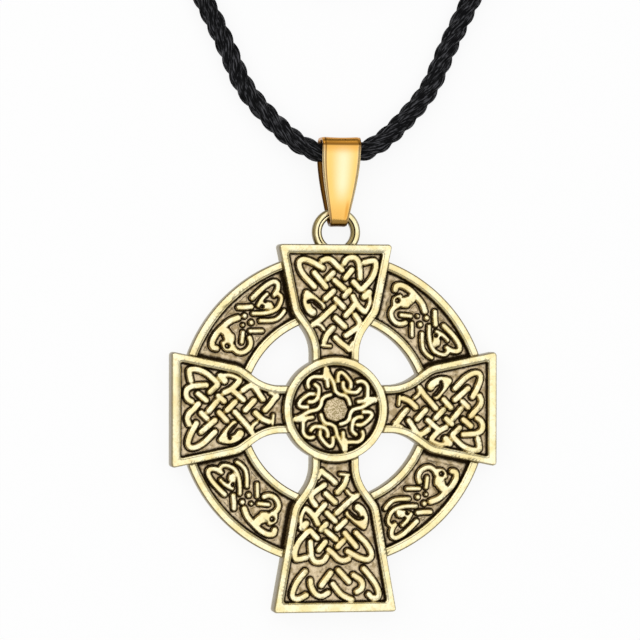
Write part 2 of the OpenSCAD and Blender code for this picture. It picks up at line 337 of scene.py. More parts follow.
# One quarter of the boss's knot, which is turned about the middle disc
BOSS_QUARTER = Carving((
    # The stem that curls round the middle disc, its root at the rim and the finger beside it
    Strand(((-0.9, 4.3), (-0.5, 3.6), (-0.2, 3.0), (-0.1, 2.5), (0.1, 2.0), (0.6, 1.7), (1.1, 1.6),
            (1.5, 1.2), (1.7, 0.6)), 0.6),
    Strand(((-1.1, 4.6), (-1.1, 3.7)), 0.9),
    Strand(((-1.0, 3.5), (-0.9, 2.7)), 0.6),
    # The arched back, the neck and the head
    Strand(((-1.3, 3.8), (-2.0, 3.8), (-2.6, 3.8), (-3.1, 3.5), (-3.3, 3.0), (-3.2, 2.6)), 0.6),
    Strand(((-2.4, 2.9), (-2.0, 2.5), (-2.0, 1.8), (-2.2, 1.2), (-2.7, 0.9), (-3.1, 0.9)), 0.6),
    Strand(((-2.6, 1.8), (-3.1, 1.8), (-3.7, 1.4), (-4.2, 0.9), (-4.3, 0.5), (-3.9, 0.3), (-3.3, 0.3)), 0.6),
))


# ---- Meshes ----


def mesh_object(
    name: str, points: np.ndarray, faces: np.ndarray, uv: np.ndarray | None = None
) -> bpy.types.Object:
    """A smooth-shaded mesh object at the origin, from points in millimetres.

    Args:
        name: The object's name.
        points: One point to a row, in millimetres.
        faces: Corner numbers, one triangle or one quad to a row.
        uv: One pair for each face corner, where the piece has its own UV map.

    Returns:
        The new object, linked to the scene.
    """
    mesh = bpy.data.meshes.new(name)
    sides = faces.shape[1]
    mesh.vertices.add(len(points))
    mesh.vertices.foreach_set("co", (points * MM).astype(np.float32).ravel())
    mesh.loops.add(faces.size)
    mesh.loops.foreach_set("vertex_index", faces.astype(np.int32).ravel())
    mesh.polygons.add(len(faces))
    mesh.polygons.foreach_set("loop_start", np.arange(0, faces.size, sides, dtype=np.int32))
    mesh.polygons.foreach_set("use_smooth", np.ones(len(faces), dtype=bool))
    if uv is not None:
        layer = mesh.uv_layers.new(name="UVMap")
        layer.data.foreach_set("uv", uv.astype(np.float32).ravel())
    mesh.update(calc_edges=True)
    mesh.validate()
    made = bpy.data.objects.new(name, mesh)
    bpy.context.scene.collection.objects.link(made)
    return made


def store(mesh: bpy.types.Mesh, name: str, value: np.ndarray) -> None:
    """Stores a number for each point of a mesh, which its finish reads by name."""
    layer = mesh.attributes.new(name, "FLOAT", "POINT")
    layer.data.foreach_set("value", value.astype(np.float32).ravel())


def grid_faces(rows: int, columns: int, close_rows: bool, close_columns: bool) -> np.ndarray:
    """The quads of a grid of points that are numbered row by row.

    Args:
        rows: The number of rows.
        columns: The number of points in a row.
        close_rows: Whether the last row joins the first.
        close_columns: Whether the last point of a row joins its first.

    Returns:
        Corner numbers, one quad to a row, which face along row direction cross column direction.
    """
    i = np.arange(rows if close_rows else rows - 1)[:, None]
    j = np.arange(columns if close_columns else columns - 1)[None, :]
    i2, j2 = (i + 1) % rows, (j + 1) % columns
    corners = (i * columns + j, i2 * columns + j, i2 * columns + j2, i * columns + j2)
    return np.stack([np.broadcast_to(c, (i.size, j.size)) for c in corners], axis=2).reshape(-1, 4)


def lathe(profile: np.ndarray, steps: int) -> tuple[np.ndarray, np.ndarray]:
    """A closed profile of (radius, height) turned about the Z axis.

    Args:
        profile: The profile's points, counterclockwise in the plane of radius and height.
        steps: The number of places round the axis.

    Returns:
        The points and quads.
    """
    angle = np.linspace(0.0, 2 * np.pi, steps, endpoint=False)[:, None]
    radius, height = profile[None, :, 0], profile[None, :, 1]
    points = np.stack([radius * np.cos(angle), radius * np.sin(angle), height + 0 * angle], axis=2)
    return points.reshape(-1, 3), grid_faces(steps, len(profile), True, True)


def contour_mesh(
    depth: Callable[[np.ndarray], np.ndarray], low: Point, high: Point, pitch: float
) -> tuple[np.ndarray, np.ndarray, np.ndarray]:
    """The flat shape where depth is positive, as a fine lattice cut off along its outline.

    Each lattice square is cut by marching squares: going round it, an inner corner is kept, and a
    side whose ends differ adds the point where depth crosses zero. A crossing within SLIVER of a
    side's length from an inner corner moves that corner onto the outline instead.

    Args:
        depth: Gives the depth inside the outline for points, one to a row.
        low: The lowest corner of the lattice.
        high: The highest corner of the lattice.
        pitch: The lattice's pitch.

    Returns:
        The points, the triangles that face +Z, and the outline's edges with the shape on their left.
    """
    gx, gy = np.meshgrid(np.arange(low[0], high[0], pitch), np.arange(low[1], high[1], pitch), indexing="ij")
    value = depth(np.stack([gx.ravel(), gy.ravel()], axis=1)).reshape(gx.shape)
    solid = value > 0
    corner = np.full(gx.shape, -1)
    corner[solid] = np.arange(solid.sum())
    points = [np.stack([gx[solid], gy[solid]], axis=1)]
    count = len(points[0])
    crossings = []
    for axis in (0, 1):
        first = (slice(None, -1), slice(None)) if axis == 0 else (slice(None), slice(None, -1))
        second = (slice(1, None), slice(None)) if axis == 0 else (slice(None), slice(1, None))
        cut = solid[first] != solid[second]
        share = value[first] / np.where(cut, value[first] - value[second], 1.0)
        place = np.stack([gx[first], gy[first]], axis=2)[cut]
        place[:, axis] += pitch * share[cut]
        inner = np.where(solid[first], corner[first], corner[second])[cut]
        close = np.where(solid[first], share, 1.0 - share)[cut] < SLIVER
        points[0][inner[close]] = place[close]
        number = inner.copy()
        number[~close] = count + np.arange((~close).sum())
        points.append(place[~close])
        count += int((~close).sum())
        side = np.full(cut.shape, -1)
        side[cut] = number
        crossings.append(side)
    across, along = crossings
    corners = (corner[:-1, :-1], corner[1:, :-1], corner[1:, 1:], corner[:-1, 1:])
    sides = (across[:, :-1], along[1:, :], across[:, 1:], along[:-1, :])
    code = sum((c >= 0).astype(int) << k for k, c in enumerate(corners))
    triangles = []
    for kind in range(1, 16):
        at = code == kind
        ring = []
        for k in range(4):
            if kind >> k & 1:
                ring.append(corners[k][at])
            if (kind >> k & 1) != (kind >> (k + 1) % 4 & 1):
                ring.append(sides[k][at])
        triangles += [np.stack([ring[0], ring[k], ring[k + 1]], axis=1) for k in range(1, len(ring) - 1)]
    faces = np.vstack(triangles)
    a, b, c = faces.T
    faces = faces[(a != b) & (b != c) & (c != a)]
    edges = np.vstack([faces[:, [0, 1]], faces[:, [1, 2]], faces[:, [2, 0]]])
    forward, backward = edges[:, 0] * count + edges[:, 1], edges[:, 1] * count + edges[:, 0]
    return np.vstack(points), faces, edges[~np.isin(forward, backward)]


# ---- Finishes ----


def linear(code: str) -> tuple[float, ...]:
    """An sRGB colour such as "#FFCC00" as linear red, green, blue and alpha.

    Args:
        code: The colour's code.

    Returns:
        The four numbers that a shader takes.
    """
    parts = [int(code[i : i + 2], 16) / 255 for i in (1, 3, 5)]
    return (*(c / 12.92 if c <= 0.04045 else ((c + 0.055) / 1.055) ** 2.4 for c in parts), 1.0)


def per_mm(size: float) -> float:
    """The scale that gives a pattern on Object coordinates a size in millimetres."""
    return 1.0 / (size * MM)


class Kind(Enum):
    """The nodes used: their type, their settings, their inputs as given in order, and their output."""

    PLUS = ("ShaderNodeMath", {"operation": "ADD"}, (0, 1), 0)
    MINUS = ("ShaderNodeMath", {"operation": "SUBTRACT"}, (0, 1), 0)
    TIMES = ("ShaderNodeMath", {"operation": "MULTIPLY"}, (0, 1), 0)
    LARGER = ("ShaderNodeMath", {"operation": "MAXIMUM"}, (0, 1), 0)
    UNSIGNED = ("ShaderNodeMath", {"operation": "ABSOLUTE"}, (0,), 0)
    STEP = ("ShaderNodeMapRange", {"interpolation_type": "SMOOTHSTEP"}, (0, 1, 2), 0)
    MIX = ("ShaderNodeMix", {"data_type": "RGBA"}, (0, 6, 7), 2)
    NOISE = ("ShaderNodeTexNoise", {}, ("Vector", "Scale", "Detail"), "Fac")
    MAPPING = ("ShaderNodeMapping", {}, ("Vector", "Scale"), 0)
    BUMP = ("ShaderNodeBump", {}, ("Height", "Distance", "Strength"), "Normal")
    PLACE = ("ShaderNodeTexCoord", {}, (), "Object")
    UV = ("ShaderNodeUVMap", {}, (), "UV")
    STORED = ("ShaderNodeAttribute", {}, (), "Fac")
    CAMERA_RAY = ("ShaderNodeLightPath", {}, (), "Is Camera Ray")
    GLOSSY_RAY = ("ShaderNodeLightPath", {}, (), "Is Glossy Ray")
    CLEAR_RAY = ("ShaderNodeLightPath", {}, (), "Is Transmission Ray")
    DIFFUSE = ("ShaderNodeBsdfDiffuse", {}, ("Color",), 0)
    GLOW = ("ShaderNodeEmission", {}, ("Color", "Strength"), 0)
    SKY = ("ShaderNodeBackground", {}, ("Color", "Strength"), 0)
    BLEND = ("ShaderNodeMixShader", {}, (0, 1, 2), 0)


class Nodes:
    """The node tree of a material or world, built one node at a time."""

    def __init__(self, holder: bpy.types.ID, output: str = "ShaderNodeOutputMaterial") -> None:
        """Empties the tree.

        Args:
            holder: The material or world.
            output: The type of its output node.
        """
        holder.use_nodes = True
        self.tree = holder.node_tree
        self.tree.nodes.clear()
        self.output = self.tree.nodes.new(output)

    def add(self, kind: Kind, *values, **settings) -> bpy.types.NodeSocket:
        """Adds a node with its settings and links.

        Args:
            kind: The kind of node.
            values: Its inputs in the kind's order: numbers, sRGB codes or other nodes' outputs.
            settings: More of the node's own properties.

        Returns:
            The output that the kind names.
        """
        node_type, fixed, inputs, output = kind.value
        node = self.tree.nodes.new(node_type)
        for name, value in (fixed | settings).items():
            setattr(node, name, value)
        for place, value in zip(inputs, values):
            self.join(node.inputs[place], value)
        return node.outputs[output]

    def join(self, socket: bpy.types.NodeSocket, value: object) -> None:
        """Links an input to another node's output, or sets it.

        Args:
            socket: The input.
            value: The output, a number or numbers, or an sRGB code.
        """
        if isinstance(value, bpy.types.NodeSocket):
            self.tree.links.new(value, socket)
        else:
            socket.default_value = linear(value) if isinstance(value, str) else value

    def show(self, surface: bpy.types.NodeSocket) -> None:
        """Makes a shader the one that is seen."""
        self.join(self.output.inputs["Surface"], surface)

    def stripe(
        self, value: bpy.types.NodeSocket, rise: Point, fall: Point
    ) -> bpy.types.NodeSocket:
        """A stripe along a value, as the product of two smooth steps.

        Args:
            value: The value that the stripe lies along.
            rise: Where the first step is 0 and 1.
            fall: Where the second step is 0 and 1.

        Returns:
            An output that is 1 on the stripe and 0 off it.
        """
        return self.add(Kind.TIMES, self.add(Kind.STEP, value, *rise), self.add(Kind.STEP, value, *fall))

    def patches(self, size: float, step: Point, detail: float = 2.0) -> bpy.types.NodeSocket:
        """Irregular patches, as a smooth step of noise.

        Args:
            size: The noise's lumps, in millimetres.
            step: The noise where the patches are 0 and 1.
            detail: The noise's detail.

        Returns:
            An output that is 1 on the patches and 0 off them.
        """
        noise = self.add(Kind.NOISE, self.add(Kind.PLACE), per_mm(size), detail)
        return self.add(Kind.STEP, noise, *step)

    def coats(self, colour: object, *coats: tuple) -> object:
        """Colours laid over each other.

        Args:
            colour: The lowest colour, as a code or an output.
            coats: From the lowest up, where each coat lies, its strength there and its colour.

        Returns:
            The resulting colour's output.
        """
        for where, strength, tint in coats:
            colour = self.add(Kind.MIX, self.add(Kind.TIMES, where, strength), colour, tint)
        return colour


class Shader(Nodes):
    """A material with a Principled surface."""

    def __init__(self, name: str) -> None:
        """Makes the material.

        Args:
            name: The material's name.
        """
        self.material = bpy.data.materials.new(name)
        super().__init__(self.material)
        self.principled = self.tree.nodes.new("ShaderNodeBsdfPrincipled")
        self.show(self.principled.outputs[0])

    def set(self, **values) -> None:
        """Sets or links inputs of the surface, with the spaces in their names as underscores."""
        for name, value in values.items():
            self.join(self.principled.inputs[name.replace("_", " ")], value)


@dataclass(frozen=True)
class AntiqueGold:
    """Cast alloy with antiqued gold plate: pale worn tops, tan floors and near-black hollows.

    The dark wash was rubbed off the high parts, which shine softly, and stays beside every raised
    edge. A dark painted shade runs along the outer edge of each level, round the loop and over the
    walls and back. Pairs are distances in millimetres where a smooth step is 0 and 1.
    """

    top: str = "#F1E8C3"
    worn: str = "#E6D8A2"
    edge: str = "#CBB276"
    # The next colour is a painted shade: a dark line along the outer edge of each level and round the loop,
    # which also covers the walls and back
    rim_shade: str = "#64511F"
    stain: str = "#E0C88A"
    floor: str = "#DFCDAC"
    floor_dark: str = "#AE9A74"
    grain: str = "#A3936A"
    hollow: str = "#2B1D07"
    wobble: float = 0.1
    floor_from: Point = (-0.04, 0.08)
    hollows: tuple[Point, Point] = ((-0.06, 0.02), (0.22, 0.1))
    etched: tuple[Point, Point] = ((0.27, 0.31), (0.38, 0.34))
    grooves: tuple[Point, Point] = ((-0.27, -0.24), (-0.19, -0.22))
    edge_from: Point = (-0.1, 0.0)
    # Where the painted shade along each level's outer edge is 0 and 1
    rim_shade_from: Point = (0.17, 0.06)
    disc_from: Point = (1.5, 1.6)
    # Roughness of the tops, and what lumps, floors and hollows add to it
    rough: tuple[float, ...] = (0.27, 0.1, 0.22, 0.2)
    grit: float = 0.018

    def build(self) -> bpy.types.Material:
        """Builds the material, which reads the mesh's edge_mm, ledge_mm and border_mm attributes.

        Returns:
            The material.
        """
        s = Shader("antiqued gold plate on a casting")
        place = s.add(Kind.PLACE)
        lumps = s.add(Kind.MINUS, s.add(Kind.NOISE, place, per_mm(0.35)), 0.5)
        wobble = s.add(Kind.TIMES, lumps, self.wobble)
        edge = s.add(Kind.PLUS, s.add(Kind.STORED, attribute_name="edge_mm"), wobble)
        stored = s.add(Kind.STORED, attribute_name="border_mm")
        border = s.add(Kind.PLUS, stored, s.add(Kind.TIMES, wobble, 0.6))
        ledge = s.add(Kind.STORED, attribute_name="ledge_mm")
        on_floor = s.add(Kind.STEP, edge, *self.floor_from)
        patchy = s.add(Kind.TIMES, s.patches(1.1, (0.4, 0.6)), 0.6)
        etched = s.add(Kind.TIMES, s.stripe(edge, *self.etched), patchy)
        hollow = s.add(Kind.LARGER, s.stripe(edge, *self.hollows), etched)
        dark = s.add(Kind.LARGER, hollow, s.add(Kind.TIMES, s.stripe(ledge, *self.grooves), 0.4))
        top = s.coats(
            self.top,
            (s.patches(1.6, (0.35, 0.68), 3.0), 1.0, self.worn),
            (s.patches(0.3, (0.5, 0.72)), 0.45, self.edge),
            (s.patches(5.0, (0.55, 0.7)), 0.5, self.stain),
            (s.add(Kind.STEP, edge, *self.edge_from), 1.0, self.edge),
            # Painted shade along the outer edge of each level, round the loop and over the walls and back
            (s.add(Kind.STEP, border, *self.rim_shade_from), 0.85, self.rim_shade),
        )
        floor = s.coats(self.floor, (s.patches(0.6, (0.38, 0.66), 4.0), 1.0, self.floor_dark))
        grain = s.coats(self.grain, (s.patches(0.16, (0.4, 0.6), 1.0), 1.0, self.floor))
        floor = s.coats(floor, (s.add(Kind.STEP, edge, *self.disc_from), 1.0, grain))
        s.set(Base_Color=s.coats(top, (on_floor, 1.0, floor), (dark, 1.0, self.hollow)))
        s.set(Metallic=s.add(Kind.MINUS, 1.0, s.add(Kind.TIMES, dark, 0.1)))
        rough, *more = self.rough
        for where, amount in zip((s.add(Kind.NOISE, place, per_mm(0.5)), on_floor, dark), more):
            rough = s.add(Kind.PLUS, rough, s.add(Kind.TIMES, where, amount))
        s.set(Roughness=rough)
        fine = s.add(Kind.NOISE, place, per_mm(0.22), 3.0)
        grit = s.add(Kind.PLUS, fine, s.add(Kind.NOISE, place, per_mm(0.9)))
        s.set(Normal=s.add(Kind.BUMP, grit, self.grit * MM, 1.0))
        return s.material


@dataclass(frozen=True)
class BrightGold:
    """Polished gold plate, which is nearly a mirror, with faint lines from its drawing."""

    colour: str = "#E9C06E"
    deep: str = "#E2B45C"
    rough: float = 0.2
    rough_more: float = 0.05
    line_scale: Point = (9000.0, 300.0, 3000.0)
    line_depth: float = 0.004

    def build(self) -> bpy.types.Material:
        """Builds the material on Object coordinates.

        Returns:
            The material.
        """
        s = Shader("polished gold plate")
        s.set(Base_Color=s.coats(self.colour, (s.patches(4.0, (0.3, 0.8)), 1.0, self.deep)), Metallic=1.0)
        self.polish(s)
        return s.material

    def polish(self, s: Shader) -> None:
        """Gives the surface its roughness and drawing lines.

        Args:
            s: The material's shader.
        """
        place = s.add(Kind.PLACE)
        smears = s.add(Kind.TIMES, s.add(Kind.NOISE, place, per_mm(1.5)), self.rough_more)
        lines = s.add(Kind.NOISE, s.add(Kind.MAPPING, place, self.line_scale), 1.0)
        s.set(Roughness=s.add(Kind.PLUS, self.rough, smears))
        s.set(Normal=s.add(Kind.BUMP, lines, self.line_depth * MM, 1.0))


@dataclass(frozen=True)
class BailGold(BrightGold):
    """The bail's plate, with light and shade painted into its colour: a pale painted highlight along
    its middle and on both bevels, amber painted reflections at and towards its roll, towards its
    fold and on a streak, dark painted shade lines at its crease and along one side, and painted
    shade at its fold and on its back leg.

    Pairs are where a smooth step is 0 and 1, across the strip from -1 to 1 or along it from 0 at
    its fold to 1 at its roll.
    """

    # pale is the colour of the painted highlight, amber of the painted reflections, and shade and line of the
    # painted shade
    pale: str = "#EFDCB0"
    amber: str = "#D09238"
    shade: str = "#5A3A12"
    line: str = "#5E3C12"
    # Where the painted highlight runs along the middle of the strip
    highlight_at: float = 0.1
    highlight_across: Point = (0.75, 0.0)
    highlight_along: tuple[Point, Point] = ((0.2, 0.5), (0.97, 0.75))
    # The painted highlight on both bevels
    sides: Point = (0.75, 0.95)
    # The amber painted reflection towards the roll and at it
    upper: Point = (0.8, 0.9)
    roll: Point = (0.9, 0.92)
    # The dark painted shade line at the crease
    crease_shade: tuple[Point, Point] = ((0.895, 0.91), (0.945, 0.92))
    # The amber painted reflection towards the fold and on a streak
    lower: Point = (0.35, 0.1)
    reflection_at: float = 0.62
    reflection_across: Point = (0.22, 0.02)
    reflection_along: tuple[Point, Point] = ((0.04, 0.14), (0.34, 0.2))
    # The dark painted shade line along one side
    side_line: tuple[Point, Point] = ((-0.76, -0.82), (-0.9, -0.84))
    # The painted shade at the fold
    fold: Point = (0.06, 0.03)

    def build(self) -> bpy.types.Material:
        """Builds the material, which reads the strip's across, along and layer attributes.

        Returns:
            The material.
        """
        s = Shader("gold plate with painted light")
        names = ("across", "along", "layer")
        across, along, layer = (s.add(Kind.STORED, attribute_name=name) for name in names)
        off_highlight = s.add(Kind.UNSIGNED, s.add(Kind.MINUS, across, self.highlight_at))
        off_reflection = s.add(Kind.UNSIGNED, s.add(Kind.MINUS, across, self.reflection_at))
        painted_highlight = s.add(Kind.TIMES, s.add(Kind.STEP, off_highlight, *self.highlight_across), s.stripe(along, *self.highlight_along))
        reflection_streak = s.add(Kind.STEP, off_reflection, *self.reflection_across)
        # Every coat below is painted light or shade laid into the base colour
        colour = s.coats(
            self.colour,
            # Painted highlight along the middle and on both bevels
            (painted_highlight, 1.0, self.pale),
            (s.add(Kind.STEP, s.add(Kind.UNSIGNED, across), *self.sides), 0.7, self.pale),
            # Amber painted reflections towards the roll and at it
            (s.add(Kind.STEP, along, *self.upper), 0.6, self.amber),
            (s.add(Kind.STEP, along, *self.roll), 1.0, self.amber),
            # Dark painted shade line at the crease
            (s.stripe(along, *self.crease_shade), 0.8, self.line),
            # Amber painted reflections towards the fold and on a streak
            (s.add(Kind.STEP, along, *self.lower), 0.45, self.amber),
            (s.add(Kind.TIMES, reflection_streak, s.stripe(along, *self.reflection_along)), 0.75, self.amber),
            # Dark painted shade line along one side
            (s.stripe(across, *self.side_line), 0.8, self.line),
            # Painted shade at the fold and on the back leg
            (s.add(Kind.STEP, along, *self.fold), 1.0, self.shade),
            (layer, 1.0, self.shade),
        )
        s.set(Base_Color=colour, Metallic=1.0)
        self.polish(s)
        return s.material


@dataclass(frozen=True)
class BlackCord:
    """Twisted black satin yarn: long fine fibres that catch a soft sheen, with grey streaks of painted sheen.
    """

    dark: str = "#131314"
    # The lighter grey of the fibres is a painted sheen
    light: str = "#3C3C40"
    painted_sheen_from: Point = (0.5, 0.66)
    sheen_from: Point = (0.45, 0.7)
    sheen: float = 0.35
    # Fibres along and round a strand, drawn coarser than real ones so that they show
    fibres: Point = (0.9, 13.0, 1.0)
    stray: float = 0.3
    depth: float = 0.14

    def build(self) -> bpy.types.Material:
        """Builds the material on the rope's own UV map, in which U runs along and V round a strand.

        Returns:
            The material.
        """
        s = Shader("twisted black yarn")
        fibre = s.add(Kind.NOISE, s.add(Kind.MAPPING, s.add(Kind.UV), self.fibres), 1.0)
        stray = s.add(Kind.TIMES, s.add(Kind.NOISE, s.add(Kind.PLACE), per_mm(0.5), 3.0), self.stray)
        # Lighter grey fibres laid into the colour as a painted sheen
        s.set(Base_Color=s.coats(self.dark, (s.add(Kind.STEP, fibre, *self.painted_sheen_from), 1.0, self.light)))
        s.set(Specular_IOR_Level=s.add(Kind.TIMES, s.add(Kind.STEP, fibre, *self.sheen_from), self.sheen))
        s.set(Roughness=0.5, Normal=s.add(Kind.BUMP, s.add(Kind.PLUS, fibre, stray), self.depth * MM, 1.0))
        return s.material


@dataclass(frozen=True)
class PaleFloor:
    """A pale floor that the camera sees as white, apart from the shadow on it."""

    colour: str = "#F4F4F4"
    white_share: float = 0.88

    def build(self) -> bpy.types.Material:
        """Builds the material from a diffuse and an emission shader.

        Returns:
            The material.
        """
        material = bpy.data.materials.new("pale floor")
        nodes = Nodes(material)
        seen = nodes.add(Kind.LARGER, nodes.add(Kind.CAMERA_RAY), nodes.add(Kind.GLOSSY_RAY))
        seen = nodes.add(Kind.LARGER, seen, nodes.add(Kind.CLEAR_RAY))
        share = nodes.add(Kind.TIMES, seen, self.white_share)
        paper, glow = nodes.add(Kind.DIFFUSE, self.colour), nodes.add(Kind.GLOW, WHITE, 1.0)
        nodes.show(nodes.add(Kind.BLEND, share, paper, glow))
        return material


# ---- The cross ----


@dataclass(frozen=True)
class Arm:
    """One arm: its turn about the boss, its reach, the width across its end and its end rim."""

    turn: float
    reach: float
    end_w: float
    end_rim: float = 0.75
    knot_shift: Point = (0.0, 0.0)
    knot_stretch: float = 1.0
    knot_mid: float = 12.5
    extra_row: Carving | None = None

    def knot_distance(self, at: np.ndarray) -> np.ndarray:
        """Distance to the arm's interlace, which is shifted and stretched a little to fill the panel.

        Args:
            at: The points in the arm's frame.

        Returns:
            One distance for each point, negative on the strands.
        """
        local = at - self.knot_shift
        up = (local[:, 1] - self.knot_mid) / self.knot_stretch + self.knot_mid
        result = ARM_KNOT.distance(np.column_stack([local[:, 0], up]))
        if self.extra_row:
            result = np.minimum(result, self.extra_row.distance(local))
        return result


@dataclass
class CrossCasting:
    """The cast cross: four flaring arms over a ring, a round boss, and a loop on the top arm.

    Pairs named for a step are where it is 0 and 1.
    """

    arms: tuple[Arm, ...] = (
        Arm(0, 19.2, 13.5, knot_stretch=1.03),
        Arm(90, 19.2, 13.5, knot_shift=(-0.05, -0.1), knot_stretch=1.02),
        Arm(180, 23.6, 14.6, 0.95, knot_shift=(0.02, 0.12), knot_stretch=1.02, extra_row=FOOT_ROW),
        Arm(270, 19.2, 13.5, knot_shift=(0.08, 0.0)),
    )
    shoulder: Point = (5.1, 11.2)
    shoulder_r: float = 3.0
    neck: Point = (2.8, 8.0)
    neck_r: float = 5.0
    corner_r: float = 0.4
    arm_h: float = 2.8
    ring_r: float = 18.3
    ring_hole_r: float = 10.6
    ring_h: float = 2.1
    ring_rims: Point = (0.95, 1.0)
    ring_panels: tuple[Point, ...] = ((-44.7, 0.17), (45.4, 0.04), (135.9, 0.11), (225.2, 0.29))
    boss_r: float = 6.15
    boss_rim: float = 1.0
    disc_r: float = 1.5
    arm_rim: float = 0.75
    ledge: float = 0.2
    panel_d: float = 0.75
    panel_corner_r: float = 0.45
    strand_h: float = 0.6
    strand_foot: float = 0.1
    strand_rise: float = 0.18
    strand_crown: float = 2.2
    overlap: float = 0.02
    dip: Point = (0.12, 0.22)
    ledge_drop: float = 0.14
    ledge_slope: float = 0.05
    wall_step: Point = (-0.04, 0.14)
    level_step: Point = (-0.06, 0.12)
    boss_line: Point = (0.1, 0.09)
    disc_line: Point = (0.1, 0.03)
    by_rim: float = 0.62
    by_arm: float = 0.36
    in_boss: float = 0.72
    edge_r: float = 0.22
    # The wall from top to back: inset, share of the top's height, and height
    wall: Route = ((0.0, 0.5, 0.0), (0.0, 0.0, 0.14), (0.04, 0.0, 0.04), (0.14, 0.0, 0.0), (0.24, 0.0, 0.0))
    pitch: float = 0.085
    margin: float = 0.4
    loop_at: Point = (0.2, 20.6)
    loop_radii: Point = (1.74, 2.82)
    loop_z: Point = (0.95, 1.95)
    loop_groove: float = 2.16
    loop_bevel: float = 0.16
    loop_steps: int = 120
    # How much further the loop's painted shade line reaches on the left outside and right inside
    loop_shade: Point = (0.22, 0.2)
    most_faces: int = 188_000

    def rounded_outline(self, arm: Arm) -> np.ndarray:
        """An arm's outline along +Y, with arcs that touch both sides at its round corners.

        Args:
            arm: The arm.

        Returns:
            The closed outline's points, counterclockwise.
        """
        right = [(self.neck[0], 0.0), self.neck, self.shoulder, (arm.end_w / 2, arm.reach)]
        radii = [0.0, self.neck_r, self.shoulder_r, self.corner_r]
        outline = np.array(right + [(-x, y) for x, y in reversed(right)])
        return np.vstack(rounded(outline, radii + radii[::-1]))

    def arm_depth(self, arm: Arm, at: np.ndarray) -> np.ndarray:
        """How deep points lie inside an arm's outline, negative outside it.

        Args:
            arm: The arm.
            at: The points in the arm's frame.

        Returns:
            One depth for each point. A point is inside where a ray from it crosses the outline
            an odd number of times.
        """
        outline = self.rounded_outline(arm)
        closed = np.vstack([outline, outline[:1]])
        below, beside = -1.0, 1.5
        near = (at[:, 1] > below) & (at[:, 1] < arm.reach + beside)
        near &= np.abs(at[:, 0]) < arm.end_w / 2 + beside
        result = np.full(len(at), -FAR)
        x, y = at[near, 0][:, None], at[near, 1][:, None]
        (x1, y1), (x2, y2) = closed[:-1].T, closed[1:].T
        spans = (y1 > y) != (y2 > y)
        meets = x < (x2 - x1) * (y - y1) / np.where(y2 == y1, TINY, y2 - y1) + x1
        inside = (spans & meets).sum(1) % 2 == 1
        distance = path_distance(at[near], closed)
        result[near] = np.where(inside, distance, -distance)
        return result

    def depth(self, at: np.ndarray) -> np.ndarray:
        """How deep points lie inside the outline of the whole cross, without its loop.

        Args:
            at: The points, one to a row.

        Returns:
            One depth for each point.
        """
        radius = np.hypot(at[:, 0], at[:, 1])
        result = np.minimum(self.ring_r - radius, radius - self.ring_hole_r)
        result = np.maximum(result, self.boss_r - radius)
        for arm in self.arms:
            result = np.maximum(result, self.arm_depth(arm, turned(at, -arm.turn)))
        return result

    def round_corner(self, a: np.ndarray, b: np.ndarray) -> np.ndarray:
        """The lesser of two depths, with a rounded corner where both are small.

        Args:
            a: The depths inside one side.
            b: The depths inside the other.

        Returns:
            The combined depths.
        """
        radius = self.panel_corner_r
        short_a, short_b = np.maximum(radius - a, 0.0), np.maximum(radius - b, 0.0)
        return np.minimum(np.minimum(a, b), radius - np.hypot(short_a, short_b))

    def sunk(self, top: float, panel: np.ndarray, carved: np.ndarray) -> tuple[np.ndarray, np.ndarray]:
        """Height of a rimmed panel, with the distance to its nearest raised edge.

        The rim's inner edge steps down to a ledge and then to the floor, which dips next to every
        raised edge. With t the share of strand_rise from a strand's edge, it rises as
        1 - (1 - t) ^ strand_crown.

        Args:
            top: The height of the panel's rim.
            panel: The depth inside the panel, negative on the rim.
            carved: The distance to the nearest strand, negative on it.

        Returns:
            The heights, and the distances, negative on the raised parts.
        """
        beside = np.minimum(self.by_rim * panel, carved)
        edge = np.where(panel < 0, panel, np.where(carved < 0, carved, beside))
        floor = top - self.panel_d
        deep, wide = self.dip
        dip = deep * np.exp(-((np.maximum(edge, 0.0) / wide) ** 2))
        step_down = ramp(panel + self.ledge, -self.ledge_slope, self.ledge_slope)
        rim = top - self.ledge_drop * step_down
        height = rim + (floor - dip - rim) * ramp(panel, *self.wall_step)
        share = np.clip((self.overlap - carved) / self.strand_rise, 0.0, 1.0)
        rise = 1.0 - (1.0 - share) ** self.strand_crown
        strand = floor - self.strand_foot + (self.strand_h + self.strand_foot) * rise
        height = np.where((carved < self.overlap) & (panel > 0), np.maximum(height, strand), height)
        return height, edge

    def overlay(
        self, face: dict[str, np.ndarray], inside: np.ndarray, panel: np.ndarray, carved: np.ndarray
    ) -> None:
        """Lays an arm or the boss over what is below it.

        Args:
            face: The face so far, as relief gives it, which is changed.
            inside: The depth inside the new level's outline.
            panel: The depth inside its panel.
            carved: The distance to its nearest strand.
        """
        height, edge = self.sunk(self.arm_h, panel, carved)
        on = inside > 0
        face["height"] = face["height"] + (height - face["height"]) * ramp(inside, *self.level_step)
        face["edge_mm"] = np.where(on, edge, face["edge_mm"])
        face["ledge_mm"] = np.where(on, np.minimum(panel, 0.0), face["ledge_mm"])
        face["border_mm"] = np.where(on, inside, np.minimum(face["border_mm"], -inside))
        face["outline"] = np.maximum(face["outline"], inside)

